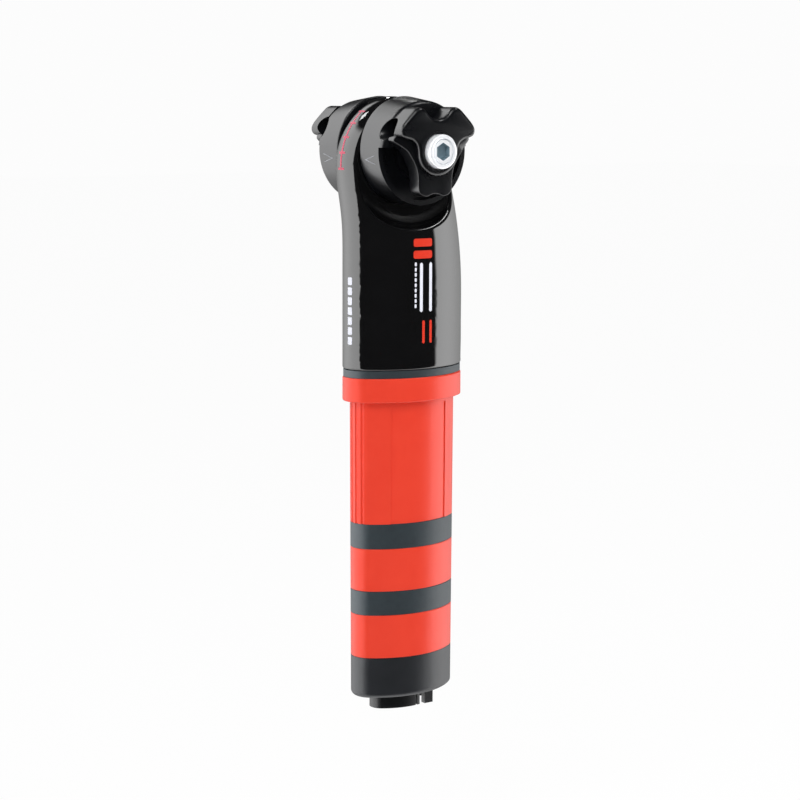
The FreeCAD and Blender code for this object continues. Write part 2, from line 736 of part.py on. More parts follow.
def clamp_bolt():
    """Socket-head bolt through the whole clamp, its head on the right side."""
    end = bolt_seat_y + clamp_nut_height + clamp_bolt_end_show
    shank = cylinder_y(clamp_bolt_radius, -bolt_seat_y - 1.0, end)
    head = cylinder_y(clamp_bolt_head_radius, -bolt_top_y, -bolt_seat_y)
    head = head.makeChamfer(clamp_bolt_head_bevel, edges_at_y(head, -bolt_top_y))
    bolt = shank.fuse(head).removeSplitter()
    socket = hexagon_prism(clamp_bolt_socket_flats, clamp_bolt_socket_depth + 1.0,
                           Vector(pivot_x, -bolt_top_y + clamp_bolt_socket_depth, pivot_z),
                           Vector(0, -1, 0))
    return bolt.cut(socket)


def clamp_nut():
    """Hexagonal nut on the left end of the clamp bolt."""
    nut = hexagon_prism(clamp_nut_flats, clamp_nut_height,
                        Vector(pivot_x, bolt_seat_y, pivot_z), Vector(0, 1, 0))
    return nut.cut(cylinder_y(clamp_bolt_radius + thread_clearance, 0, 2 * bolt_top_y))


os.makedirs("parts", exist_ok=True)

save(post_body(), "post_body")
save(pivot_liner(), "pivot_liner")
save(damper_gasket(), "damper_gasket")
save(collar_sleeve(), "collar_sleeve")
save(spine(), "spine")
save(plug_ring(upper_band_bottom, sleeve_bottom, 0), "upper_band")
save(plug_ring(middle_ring_bottom, upper_band_bottom, ring_edge_round), "middle_ring")
save(plug_ring(lower_band_bottom, middle_ring_bottom, 0), "lower_band")
save(plug_ring(lower_ring_bottom, lower_band_bottom, ring_edge_round), "lower_ring")
save(end_cap(), "end_cap")
save(draw_nut(), "draw_nut")
save(draw_washer(), "draw_washer")
save(draw_bolt(), "draw_bolt")
save(cross_sleeve(), "cross_sleeve")
save(clamp_bolt(), "clamp_bolt")
save(clamp_nut(), "clamp_nut")
save(nut_cup(), "nut_cup")
save(mirrored(bolt_cup()), "bolt_cup")

ring_left = friction_ring()
save(ring_left, "friction_ring_left")
save(mirrored(ring_left), "friction_ring_right")
disc_left = clamp_disc()
save(disc_left, "clamp_disc_left")
save(mirrored(disc_left), "clamp_disc_right")
cap_left = rail_cap()
save(cap_left, "rail_cap_left")
save(mirrored(cap_left), "rail_cap_right")
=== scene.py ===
# %% [markdown]
# A seatpost for an oval seat mast: a gloss black post with a tilting saddle clamp on
# top, and under its red collar a plug that is squeezed until it grips inside the mast.
# The solids come from a CAD frame in metres. This lesson dresses them: it gives each
# one a finish, softens its edges, and adds what is too fine for the solids.

# %% Load the frame
import json
import math

import bpy
from mathutils import Matrix, Vector

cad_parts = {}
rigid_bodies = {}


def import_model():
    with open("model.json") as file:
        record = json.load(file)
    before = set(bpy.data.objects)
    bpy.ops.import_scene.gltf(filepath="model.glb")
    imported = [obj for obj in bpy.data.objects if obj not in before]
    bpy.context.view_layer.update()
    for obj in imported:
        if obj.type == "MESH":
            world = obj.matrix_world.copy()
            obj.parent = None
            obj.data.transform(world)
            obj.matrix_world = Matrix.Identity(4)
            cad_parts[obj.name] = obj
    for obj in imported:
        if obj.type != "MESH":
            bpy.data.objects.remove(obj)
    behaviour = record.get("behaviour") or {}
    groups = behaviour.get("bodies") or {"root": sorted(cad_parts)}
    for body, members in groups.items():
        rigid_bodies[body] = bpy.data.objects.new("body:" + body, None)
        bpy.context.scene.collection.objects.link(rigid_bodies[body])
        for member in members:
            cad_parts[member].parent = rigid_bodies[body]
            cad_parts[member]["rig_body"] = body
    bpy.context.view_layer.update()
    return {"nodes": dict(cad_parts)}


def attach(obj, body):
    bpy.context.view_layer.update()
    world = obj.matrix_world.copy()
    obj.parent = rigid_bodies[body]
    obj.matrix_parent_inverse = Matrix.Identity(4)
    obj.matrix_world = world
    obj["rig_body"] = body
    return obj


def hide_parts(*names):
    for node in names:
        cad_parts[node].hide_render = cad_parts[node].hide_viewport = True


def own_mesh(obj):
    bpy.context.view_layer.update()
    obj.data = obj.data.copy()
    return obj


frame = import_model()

MM = 0.001
scene = bpy.context.scene
scene.view_settings.view_transform = "Standard"

# %% [markdown]
# The camera. The photograph was taken from behind and to the right of the post, a
# little above it, with a long lens. A camera was fitted to the ovals of the plug and
# to the discs of the clamp, and these are its numbers. A view set by eye would do for a
# picture, but with this one the render can be laid over the photograph.

# %% Camera
CAMERA_AZIMUTH = math.radians(-36.81)
CAMERA_ELEVATION = math.radians(8.14)
CAMERA_ROLL = math.radians(0.205)
CAMERA_DISTANCE = 869.9 * MM
LENS_LENGTH = 99.0
SENSOR_WIDTH = 36.0
TARGET_ACROSS = -0.80 * MM
TARGET_HEIGHT = -1.41 * MM

right = Vector((math.cos(CAMERA_AZIMUTH), math.sin(CAMERA_AZIMUTH), 0.0))
toward_camera = Vector((
    math.sin(CAMERA_AZIMUTH) * math.cos(CAMERA_ELEVATION),
    -math.cos(CAMERA_AZIMUTH) * math.cos(CAMERA_ELEVATION),
    math.sin(CAMERA_ELEVATION)))
target = right * TARGET_ACROSS + Vector((0.0, 0.0, TARGET_HEIGHT))
aim = Matrix((right, toward_camera.cross(right), toward_camera)).transposed().to_4x4()

camera_data = bpy.data.cameras.new("camera")
camera_data.lens = LENS_LENGTH
camera_data.sensor_width = SENSOR_WIDTH
camera = bpy.data.objects.new("camera", camera_data)
scene.collection.objects.link(camera)
camera.matrix_world = (
    Matrix.Translation(target + toward_camera * CAMERA_DISTANCE)
    @ aim @ Matrix.Rotation(CAMERA_ROLL, 4, "Z"))
scene.camera = camera
print("camera at", [round(value, 3) for value in camera.matrix_world.translation])

# %% [markdown]
# Helpers for every material. Colours are written as they look on a screen, in sRGB
# hex, and a shader wants them linear. A noise texture counts its grains per metre, so
# its scale is worked out from their real distance. The third helper adds one node,
# sets its values and joins its inputs, so that a material reads as a short list.

# %% Helpers for materials
def linear(hex_colour):
    """The linear colour of an sRGB hex value, as a shader socket takes it."""
    channels = []
    for start in (0, 2, 4):
        value = int(hex_colour[start:start + 2], 16) / 255.0
        if value <= 0.04045:
            channels.append(value / 12.92)
        else:
            channels.append(((value + 0.055) / 1.055) ** 2.4)
    return (*channels, 1.0)


def per_metre(grain_mm):
    """The scale of a noise texture whose grains are this many millimetres apart."""
    return 1.0 / (grain_mm * MM)


def add_node(tree, kind, values=None, links=None, **settings):
    """Add one node, with its settings, its socket values and its incoming links."""
    node = tree.nodes.new(kind)
    for name, value in settings.items():
        setattr(node, name, value)
    for name, value in (values or {}).items():
        node.inputs[name].default_value = value
    for name, socket in (links or {}).items():
        tree.links.new(socket, node.inputs[name])
    return node


def new_material(name):
    """An empty node material, its tree and the output node."""
    material = bpy.data.materials.new(name)
    material.use_nodes = True
    material.node_tree.nodes.clear()
    output = material.node_tree.nodes.new("ShaderNodeOutputMaterial")
    print("material", name)
    return material, material.node_tree, output


# %% [markdown]
# The light. A gloss black thing shows the room more than itself. In the photograph
# every surface that mirrors the backdrop is the same even grey, and what mirrors the
# dark room round the camera, or the ceiling, is black. So the world is a small room,
# told apart by direction: a dark part, a ceiling, a dimmer floor, and a wall ahead of
# the post that is black above the horizon. Only reflections see this room. A world of
# shader nodes needs no walls to model, and its edges can be moved one by one.

# %% Directions in the room
WHITE = (1.0, 1.0, 1.0, 1.0)
DARK_ROOM_AZIMUTH = CAMERA_AZIMUTH + math.radians(24.0)
dark_room = (math.sin(DARK_ROOM_AZIMUTH), -math.cos(DARK_ROOM_AZIMUTH), 0.0)

world = bpy.data.worlds.new("studio")
scene.world = world
world.use_nodes = True
tree = world.node_tree
tree.nodes.clear()
sky = add_node(tree, "ShaderNodeTexCoord").outputs["Generated"]
sky_axes = add_node(tree, "ShaderNodeSeparateXYZ", links={0: sky})
forward, height = sky_axes.outputs["X"], sky_axes.outputs["Z"]
to_camera, to_dark_room = [
    add_node(tree, "ShaderNodeVectorMath", operation="DOT_PRODUCT",
             values={1: direction}, links={0: sky}).outputs["Value"]
    for direction in (toward_camera, dark_room)]
print("dark room towards", [round(value, 2) for value in dark_room])

# %% [markdown]
# Gloss mirrors more as it turns away from the eye (Schlick's rule), so an even room
# would show brighter at every edge of the post, and in the photograph it doesn't. The
# surface that sends a direction to the camera faces halfway between the two. From the
# cosine to the camera comes the cosine of half that angle, and from it the share that
# is mirrored, which the strength of the backdrop is later divided by.

# %% The share that gloss mirrors
FACING_SHARE = 0.04
mirrored_share = to_camera
for operation, values in (
        ("MULTIPLY_ADD", {1: 0.5, 2: 0.5}),
        ("SQRT", {}),
        ("MULTIPLY_ADD", {1: -1.0, 2: 1.0}),
        ("POWER", {1: 5.0}),
        ("MULTIPLY_ADD", {1: 1.0 - FACING_SHARE, 2: FACING_SHARE})):
    mirrored_share = add_node(tree, "ShaderNodeMath", operation=operation, use_clamp=True,
                              values=values, links={0: mirrored_share}).outputs["Value"]
print("gloss mirrors", FACING_SHARE, "of what it faces")

# %% [markdown]
# The edges of the room. Each is a soft step over one reading, because a hard one would
# draw a line on the gloss. The readings are cosines: a height of 0 is the horizon, and
# 1 is straight up.

# %% Edges of the room
DARK_ROOM_EDGE = math.cos(math.radians(65.0))
CEILING_START = 0.69
FLOOR_START = -0.50
FLOOR_SHARE = 0.62
WALL_START = 0.14
HORIZON = 0.04
ROOM_EDGES = [
    # reading, where the step starts and ends, share before it
    (to_dark_room, DARK_ROOM_EDGE + 0.04, DARK_ROOM_EDGE - 0.04, 0.0),
    (height, CEILING_START + 0.12, CEILING_START, 0.0),
    (height, FLOOR_START - 0.02, FLOOR_START, FLOOR_SHARE),
    (forward, WALL_START, WALL_START + 0.20, 0.0),
    (height, HORIZON, HORIZON + 0.12, 0.0),
]
past_dark_room, below_ceiling, above_floor, ahead, over_horizon = [
    add_node(tree, "ShaderNodeMapRange", interpolation_type="SMOOTHSTEP",
             values={"From Min": start, "From Max": end, "To Min": before},
             links={"Value": reading}).outputs["Result"]
    for reading, start, end, before in ROOM_EDGES]
print("room edges", len(ROOM_EDGES))

# %% [markdown]
# The strength of each direction is the wanted grey divided by the mirrored share, times
# the shares of the room's parts, and never quite black. The camera sees plain white,
# and matt surfaces get an even, neutral light.

# %% World
BACKDROP_GREY = 0.23
DARK_LEVEL = 0.03
AMBIENT_STRENGTH = 0.60
WHITE_SEEN = 0.975

black_wall = add_node(tree, "ShaderNodeMath", operation="MULTIPLY",
                      links={0: ahead, 1: over_horizon}).outputs["Value"]
beside_wall = add_node(tree, "ShaderNodeMath", operation="SUBTRACT", values={0: 1.0},
                       links={1: black_wall}).outputs["Value"]
level = add_node(tree, "ShaderNodeMath", operation="DIVIDE", values={0: BACKDROP_GREY},
                 links={1: mirrored_share}).outputs["Value"]
for share in (past_dark_room, below_ceiling, above_floor, beside_wall):
    level = add_node(tree, "ShaderNodeMath", operation="MULTIPLY",
                     links={0: level, 1: share}).outputs["Value"]
level = add_node(tree, "ShaderNodeMath", operation="MAXIMUM", values={1: DARK_LEVEL},
                 links={0: level}).outputs["Value"]

rays = add_node(tree, "ShaderNodeLightPath")
reflected = add_node(tree, "ShaderNodeBackground", values={"Color": WHITE},
                     links={"Strength": level})
even = add_node(tree, "ShaderNodeBackground",
                values={"Color": WHITE, "Strength": AMBIENT_STRENGTH})
plain = add_node(tree, "ShaderNodeBackground",
                 values={"Color": WHITE, "Strength": WHITE_SEEN})
lit = add_node(tree, "ShaderNodeMixShader", links={
    0: rays.outputs["Is Glossy Ray"], 1: even.outputs[0], 2: reflected.outputs[0]})
seen = add_node(tree, "ShaderNodeMixShader", links={
    0: rays.outputs["Is Camera Ray"], 1: lit.outputs[0], 2: plain.outputs[0]})
add_node(tree, "ShaderNodeOutputWorld", links={"Surface": seen.outputs[0]})
print("world: ambient", AMBIENT_STRENGTH, "backdrop grey", BACKDROP_GREY)

# %% [markdown]
# The lamps. Two soft squares light the colours and stay out of the reflections, so the
# red of the plug is even and the gloss shows only the room. Four smaller ones do the
# opposite: only gloss sees them, as the few white glints on the edges and the crown of
# the head. All are area lamps that look at the origin, which are easy to aim.

# %% Lamps
LAMP_DISTANCE = 1.1
LAMPS = [
    # name, direction, size in metres, power in watts, seen in gloss
    ("key_lamp", (-0.9, -0.55, 0.9), 0.6, 5.0, False),
    ("fill_lamp", (0.75, -0.8, 0.75), 0.6, 4.5, False),
    ("glint_lip", (-0.232, -0.489, 0.842), 0.3, 3.0, True),
    ("glint_shoulder", (0.452, -0.222, 0.865), 0.2, 1.6, True),
    ("glint_crown_rear", (-0.264, 0.395, 0.88), 0.2, 1.8, True),
    ("glint_crown_top", (0.461, 0.645, 0.61), 0.05, 0.2, True),
]
for name, direction, size, power, in_gloss in LAMPS:
    lamp_data = bpy.data.lights.new(name, "AREA")
    lamp_data.shape = "SQUARE"
    lamp_data.size = size
    lamp_data.energy = power
    lamp = bpy.data.objects.new(name, lamp_data)
    scene.collection.objects.link(lamp)
    direction = Vector(direction).normalized()
    lamp.location = direction * LAMP_DISTANCE
    lamp.rotation_euler = direction.to_track_quat("Z", "Y").to_euler()
    lamp.visible_glossy = in_gloss
    lamp.visible_diffuse = not in_gloss
print("lamps:", ", ".join(row[0] for row in LAMPS))

# %% [markdown]
# The floor is far enough below the plug for its shadow to stay soft and pale. Most of
# what the camera sees of it is plain white, so that it meets the world with no line,
# and the rest is a lit matt surface that keeps the shadow. Reflections look through it.

# %% Floor
FLOOR_Z = -190.0 * MM
FLOOR_SIZE = 12.0
PLAIN_WHITE_SHARE = 0.93
bpy.ops.mesh.primitive_plane_add(size=FLOOR_SIZE, location=(0.0, 0.0, FLOOR_Z))
floor = bpy.context.object
floor.name = "studio_floor"
paper, tree, output = new_material("white_paper")
rays = add_node(tree, "ShaderNodeLightPath")
matt = add_node(tree, "ShaderNodeBsdfDiffuse", values={"Color": linear("F8F8F8")})
glow = add_node(tree, "ShaderNodeEmission", values={"Color": WHITE, "Strength": 1.0})
kept = add_node(tree, "ShaderNodeMixShader", values={0: PLAIN_WHITE_SHARE},
                links={1: matt.outputs[0], 2: glow.outputs[0]})
clear = add_node(tree, "ShaderNodeBsdfTransparent")
mirrored_floor = add_node(tree, "ShaderNodeMixShader", links={
    0: rays.outputs["Is Glossy Ray"], 1: matt.outputs[0], 2: clear.outputs[0]})
paper_shader = add_node(tree, "ShaderNodeMixShader", links={
    0: rays.outputs["Is Camera Ray"], 1: mirrored_floor.outputs[0], 2: kept.outputs[0]})
tree.links.new(paper_shader.outputs[0], output.inputs["Surface"])
floor.data.materials.append(paper)
print("floor", round(FLOOR_Z / MM), "mm below the collar")

# %% [markdown]
# Most finishes here are one substance whose colour wavers a little, as real ones do:
# a slow noise picks between two close tones, and a second, finer noise may roughen
# the surface. One helper builds that, and each finish below gives it what it is.

# %% Helper: a finish of two close tones
def two_tone(name, thin, full, grain_mm, detail, surface, relief=None):
    """A finish between two colours, with grains of a real size.

    surface holds the values of the shader, and relief is a finer noise that only
    bends the light: its grain in mm, its detail, its strength and its depth in mm.
    """
    material, tree, output = new_material(name)
    place = add_node(tree, "ShaderNodeTexCoord").outputs["Object"]
    cloud = add_node(tree, "ShaderNodeTexNoise", links={"Vector": place},
                     values={"Scale": per_metre(grain_mm), "Detail": detail})
    tone = add_node(tree, "ShaderNodeValToRGB", links={"Fac": cloud.outputs["Fac"]})
    tone.color_ramp.elements[0].color = linear(thin)
    tone.color_ramp.elements[1].color = linear(full)
    links = {"Base Color": tone.outputs["Color"]}
    if relief:
        relief_mm, relief_detail, strength, depth_mm = relief
        grit = add_node(tree, "ShaderNodeTexNoise", links={"Vector": place},
                        values={"Scale": per_metre(relief_mm), "Detail": relief_detail})
        bump = add_node(tree, "ShaderNodeBump", links={"Height": grit.outputs["Fac"]},
                        values={"Strength": strength, "Distance": depth_mm * MM})
        links["Normal"] = bump.outputs["Normal"]
    shader = add_node(tree, "ShaderNodeBsdfPrincipled", values=surface, links=links)
    tree.links.new(shader.outputs[0], output.inputs["Surface"])
    return material


# %% [markdown]
# Gloss lacquer. The post is sprayed black and clear-coated, which gives a hard mirror:
# a near-black base with slow clouds 11 mm across, an IOR of 1.5 as acrylic lacquers
# have, and a trace of orange peel, 1.5 mm from lump to lump, that only bends the
# reflections a little.

# %% Gloss black lacquer
lacquer = two_tone(
    "gloss_black_lacquer", "0B0B0C", "101011", 11.1, 3.0,
    {"Roughness": 0.07, "IOR": 1.5}, relief=(1.54, 1.0, 0.006, 0.05))

# %% [markdown]
# Black anodised aluminium. The clamp is forged, bead-blasted and anodised: a satin
# black oxide with a very fine grain, smoother in some places than in others. The dyed
# oxide hides the metal, so it is no metal to the shader, and the blasting takes some of
# its gloss, which the specular level lowers. The grit is about 0.1 mm, drawn here at
# 0.4 mm so that it can be seen at all.

# %% Satin black anodising
GRIT_MM = 0.4
WEAR_MM = 8.33
anodised_black, tree, output = new_material("satin_black_anodised")
place = add_node(tree, "ShaderNodeTexCoord").outputs["Object"]
grit = add_node(tree, "ShaderNodeTexNoise", links={"Vector": place},
                values={"Scale": per_metre(GRIT_MM), "Detail": 2.0})
grit_bump = add_node(tree, "ShaderNodeBump", links={"Height": grit.outputs["Fac"]},
                     values={"Strength": 0.05, "Distance": 0.03 * MM})
cloud = add_node(tree, "ShaderNodeTexNoise", links={"Vector": place},
                 values={"Scale": per_metre(WEAR_MM), "Detail": 3.0})
polish = add_node(tree, "ShaderNodeMapRange", links={"Value": cloud.outputs["Fac"]},
                  values={"To Min": 0.25, "To Max": 0.32})
shader = add_node(tree, "ShaderNodeBsdfPrincipled", values={
    "Base Color": linear("0C0D10"), "IOR": 1.5, "Specular IOR Level": 0.4},
    links={"Roughness": polish.outputs["Result"], "Normal": grit_bump.outputs["Normal"]})
tree.links.new(shader.outputs[0], output.inputs["Surface"])

# %% [markdown]
# Red anodised aluminium. The collar and the rings of the plug are turned and milled,
# then dyed a bright red: even in colour, with clouds 7 mm across, and a satin sheen
# that pales where it mirrors the walls. The marks of the cutter are finer than 0.1 mm,
# and are drawn as a grit of 0.45 mm so that they show.

# %% Red anodising
CUT_GRIT_MM = 0.455
anodised_red = two_tone(
    "satin_red_anodised", "E23822", "E84029", 7.14, 4.0,
    {"Roughness": 0.36, "IOR": 1.5, "Specular IOR Level": 0.28},
    relief=(CUT_GRIT_MM, 2.0, 0.10, 0.03))

# %% [markdown]
# Rubber. The two bands and the gasket are moulded: dark grey, matt, with a little bloom
# where the compound is lighter. The mottle is really finer than 1 mm, and is drawn at
# 2.5 mm so that it shows. The same noise lifts the skin, because the two go together.

# %% Moulded rubber
MOTTLE_MM = 2.5
rubber, tree, output = new_material("moulded_grey_rubber")
place = add_node(tree, "ShaderNodeTexCoord").outputs["Object"]
mottle = add_node(tree, "ShaderNodeTexNoise", links={"Vector": place},
                  values={"Scale": per_metre(MOTTLE_MM), "Detail": 5.0, "Roughness": 0.6})
bloom = add_node(tree, "ShaderNodeValToRGB", links={"Fac": mottle.outputs["Fac"]})
bloom.color_ramp.elements[0].color = linear("283035")
bloom.color_ramp.elements[1].color = linear("323B40")
skin_bump = add_node(tree, "ShaderNodeBump", links={"Height": mottle.outputs["Fac"]},
                     values={"Strength": 0.25, "Distance": 0.05 * MM})
shader = add_node(tree, "ShaderNodeBsdfPrincipled", values={
    "Roughness": 0.5, "IOR": 1.5, "Specular IOR Level": 0.35},
    links={"Base Color": bloom.outputs["Color"], "Normal": skin_bump.outputs["Normal"]})
tree.links.new(shader.outputs[0], output.inputs["Surface"])

# %% [markdown]
# Dark anodising on the foot of the plug and on the spine. The foot is a matt dark grey
# with the same grit as the red parts, and the spine that comes out of it is darker and
# smoother. Both have clouds about 6 mm across, where the oxide took more dye.

# %% Dark grey foot and black spine
dark_foot = two_tone(
    "dark_grey_anodised", "1E2023", "25272B", 6.25, 4.0,
    {"Roughness": 0.42, "IOR": 1.5, "Specular IOR Level": 0.3},
    relief=(CUT_GRIT_MM, 2.0, 0.12, 0.03))
black_spine = two_tone(
    "black_anodised_spine", "101113", "17181B", 6.25, 4.0,
    {"Roughness": 0.4, "IOR": 1.5, "Specular IOR Level": 0.3})

# %% [markdown]
# Zinc-plated steel. The head of the clamp bolt has the white, slightly cloudy look of
# passivated zinc: part metal, part pale film, so it is only a little metallic. A
# speckle of 1.1 mm makes it smoother and rougher by turns.

# %% Bright zinc
SPECKLE_MM = 1.11
bright_zinc, tree, output = new_material("bright_zinc_plate")
place = add_node(tree, "ShaderNodeTexCoord").outputs["Object"]
speckle = add_node(tree, "ShaderNodeTexNoise", links={"Vector": place},
                   values={"Scale": per_metre(SPECKLE_MM), "Detail": 3.0})
plate_rough = add_node(tree, "ShaderNodeMapRange", links={"Value": speckle.outputs["Fac"]},
                       values={"To Min": 0.24, "To Max": 0.38})
shader = add_node(tree, "ShaderNodeBsdfPrincipled",
                  values={"Base Color": linear("F5F7FA"), "Metallic": 0.22},
                  links={"Roughness": plate_rough.outputs["Result"]})
tree.links.new(shader.outputs[0], output.inputs["Surface"])

# %% [markdown]
# Two more looks of zinc. Inside the key socket, a darker and bluish zinc is painted shade
# and a painted reflection of the recess. The nut and the thread are rolled and cut and
# not polished, and stay a dull grey. Both have a speckle of about 1 mm too, and keep a
# metal's default IOR.

# %% Zinc with painted shade in the socket, and dull zinc
# Painted shade: a darker, bluish copy of the zinc stands in for the shade and the reflections
# inside the key socket.
socket_shade_zinc = two_tone("zinc_with_painted_socket_shade", "8199A6", "9FB5C0", SPECKLE_MM, 3.0,
                       {"Metallic": 0.35, "Roughness": 0.35})
dull_zinc = two_tone("dull_zinc_plate", "666C72", "787E84", 0.91, 3.0,
                     {"Metallic": 0.5, "Roughness": 0.38})

# %% [markdown]
# Nylon. The bush in the head and the friction rings beside it are moulded from a dark
# grey nylon: matt, waxy and even, with a faint cloud of 2 mm from the mould. It is
# guessed, because the photograph doesn't show these parts.

# %% Nylon
nylon = two_tone("grey_nylon", "3A3B3D", "454648", 2.0, 3.0,
                 {"Roughness": 0.55, "IOR": 1.5})

# %% [markdown]
# Printed ink. Plain stripes and a scale are screen printed on the lacquer and the
# anodising: an even colour with a low sheen, which mirrors less than the lacquer round
# it, and a faint mottle of 1.4 mm where the ink lies thinner.

# %% Inks
INK_COLOURS = {
    "printed_red_ink": ("D6301C", "E43A22"),
    "printed_white_ink": ("DFE1EC", "ECEEF8"),
    "printed_rose_ink": ("B8405A", "C64C64"),
    "printed_grey_ink": ("8E9096", "9A9CA2"),
}
red_ink, white_ink, scale_ink, grey_ink = [
    two_tone(name, thin, full, 1.43, 2.0,
             {"Roughness": 0.4, "IOR": 1.5, "Specular IOR Level": 0.25})
    for name, (thin, full) in INK_COLOURS.items()]

# %% [markdown]
# Two small helpers for every piece. An operator acts on all that is selected, so the
# piece that it is for is made the only one. And each piece ends the same way: it gets
# its finish, the body that carries it, and the solid that it stands for.

# %% Helpers: select one piece, and hand it over
def only(piece):
    """Make one object the active and only selected one."""
    bpy.ops.object.select_all(action="DESELECT")
    piece.select_set(True)
    bpy.context.view_layer.objects.active = piece


def hand_over(piece, material, body, replaced=None):
    """Give a piece its finish, and say what carries it and what it replaces."""
    piece.data.materials.clear()
    piece.data.materials.append(material)
    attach(piece, body)
    if replaced:
        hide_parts(replaced)
    print(piece.name, "faces", len(piece.data.polygons))


# %% [markdown]
# Each solid of the frame is loose triangles. A copy of it is merged, its flat faces
# are joined again, and its sharp edges are broken with a narrow bevel, because no
# real edge is sharp and the bevel catches a line of light. The lower rim of the post
# has a wider rounding of its own, so its edges are found by their place and bevelled
# first.

# %% Helper: a finished copy of a solid
SHARP_ANGLE = math.radians(32.0)
FLAT_ANGLE = math.radians(0.02)
MERGE_DISTANCE = 0.002 * MM
TOUCH_MM = 0.01
UPRIGHT_BELOW = 0.3


def select_lower_rim(piece):
    """Select the outer edges round the bottom of a piece, in object mode."""
    data = piece.data
    lowest = min(vertex.co.z for vertex in data.vertices)
    rim = set()
    for face in data.polygons:
        outward = face.normal.x * face.center.x + face.normal.y * face.center.y
        if abs(face.normal.z) < UPRIGHT_BELOW and outward > 0:
            rim.update(index for index in face.vertices
                       if data.vertices[index].co.z < lowest + TOUCH_MM * MM)
    for edge in data.edges:
        edge.select = all(index in rim for index in edge.vertices)
    print("rim edges", sum(edge.select for edge in data.edges))


def finished_copy(node_name, piece_name, material, slot_name, bevel_mm, rim_mm=0.0):
    """A merged, bevelled and softly shaded copy of a solid, in its finish."""
    source = frame["nodes"][node_name]
    piece = bpy.data.objects.new(piece_name, source.data.copy())
    piece.data.name = piece_name
    scene.collection.objects.link(piece)
    only(piece)
    bpy.ops.object.mode_set(mode="EDIT")
    bpy.ops.mesh.select_all(action="SELECT")
    bpy.ops.mesh.remove_doubles(threshold=MERGE_DISTANCE)
    bpy.ops.mesh.dissolve_limited(angle_limit=FLAT_ANGLE)
    if rim_mm > 0:
        bpy.ops.mesh.select_all(action="DESELECT")
        bpy.ops.mesh.select_mode(type="EDGE")
        bpy.ops.object.mode_set(mode="OBJECT")
        select_lower_rim(piece)
        bpy.ops.object.mode_set(mode="EDIT")
        bpy.ops.mesh.bevel(offset=rim_mm * MM, segments=4, affect="EDGES")
    bpy.ops.object.mode_set(mode="OBJECT")
    if bevel_mm > 0:
        bevel = piece.modifiers.new("broken_edges", "BEVEL")
        bevel.width = bevel_mm * MM
        bevel.segments = 2
        bevel.limit_method = "ANGLE"
        bevel.angle_limit = SHARP_ANGLE
        bevel.use_clamp_overlap = True
        bpy.ops.object.modifier_apply(modifier=bevel.name)
    bpy.ops.object.shade_smooth_by_angle(angle=SHARP_ANGLE)
    even_normals = piece.modifiers.new("even_normals", "WEIGHTED_NORMAL")
    even_normals.keep_sharp = True
    bpy.ops.object.modifier_apply(modifier=even_normals.name)
    hand_over(piece, material, source["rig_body"], node_name)
    return piece


# %% [markdown]
# The post, the plug and the clamp in their finishes. The rings of the plug and its
# foot have rounded edges in their solids, so they get no bevel. The rubber, the spine
# and the small parts of the clamp get a narrower one than the large parts.

# %% Dress the post, the plug and the clamp
post_shell = finished_copy("post_body", "post_shell", lacquer, "gloss_black", 0.25, rim_mm=1.0)
SOLIDS = [
    # solid, piece, finish, slot, bevel in mm
    ("collar_sleeve", "red_collar_and_sleeve", anodised_red, "red_anodised", 0.25),
    ("damper_gasket", "soft_gasket", rubber, "rubber_grey", 0.2),
    ("upper_band", "upper_rubber_band", rubber, "rubber_grey", 0.2),
    ("middle_ring", "red_middle_ring", anodised_red, "red_anodised", 0.0),
    ("lower_band", "lower_rubber_band", rubber, "rubber_grey", 0.2),
    ("lower_ring", "red_lower_ring", anodised_red, "red_anodised", 0.0),
    ("end_cap", "plug_foot", dark_foot, "dark_cap", 0.0),
    ("spine", "slotted_spine", black_spine, "spine_alloy", 0.15),
    ("clamp_disc_left", "left_clamp_disc", anodised_black, "satin_black", 0.25),
    ("clamp_disc_right", "right_clamp_disc", anodised_black, "satin_black", 0.25),
    ("bolt_cup", "bolt_cup_black", anodised_black, "satin_black", 0.15),
    ("nut_cup", "nut_cup_black", anodised_black, "satin_black", 0.15),
    ("clamp_nut", "clamp_nut_plated", dull_zinc, "zinc_steel", 0.1),
]
dressed = {row[0]: finished_copy(*row) for row in SOLIDS}

# %% [markdown]
# The rubber bands are squeezed when the draw bolt pulls the rings together. The middle
# ring rises 1 mm and the foot 2 mm, so each band loses 1 mm of its height, and it
# stays on the face above it. A band can't ride on one ring alone without cutting into
# the other. Here each band only gets a mesh of its own; nothing flattens it as the
# joint moves.

# %% Own meshes for the bands
for band, joint in (("upper_band", "middle_ring_slide"), ("lower_band", "plug_end_slide")):
    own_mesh(dressed[band])

# %% [markdown]
# The rail caps. Each is a forging in two levels: a low plate with a rounded tail, and on
# it a thick plate with two wings that reach over the rail and a round boss under the
# bolt head, with straight walls and rounded front edges. It could be carved from a
# block, but an outline through a few measured points is quick to correct, and it is
# filled and extruded for each level. All is in mm from the clamp axis, the line along Y
# about which the clamp tilts.

# %% Helper: a smooth outline
PIVOT_X = -5.4 * MM
PIVOT_Z = 97.1 * MM


def smooth_loop(half_outline, steps=5):
    """A closed symmetric loop through the points of its front half, curved between them."""
    rear_half = [(-x, z) for x, z in reversed(half_outline) if x > TOUCH_MM]
    points = list(half_outline) + rear_half
    count = len(points)
    loop = []
    for index in range(count):
        before, start, end, after = (points[(index + step) % count] for step in (-1, 0, 1, 2))
        for step in range(steps):
            t = step / steps
            loop.append(tuple(
                0.5 * (2 * start[k] + (end[k] - before[k]) * t
                       + (2 * before[k] - 5 * start[k] + 4 * end[k] - after[k]) * t ** 2
                       + (3 * start[k] - before[k] - 3 * end[k] + after[k]) * t ** 3)
                for k in (0, 1)))
    return loop


# %% [markdown]
# A plate is a filled circle with as many points as the outline, which are then put in
# their places, and one extrusion. The Bevel modifier rounds only the edges that carry
# a weight, here those of the front face. The weight also sets how wide: the tops of
# the wings are rounder than the rest, from 8.5 mm above the axis upwards.

# %% Helper: a plate with a rounded front
CREST_START = 8.5
CREST_SPAN = 4.0


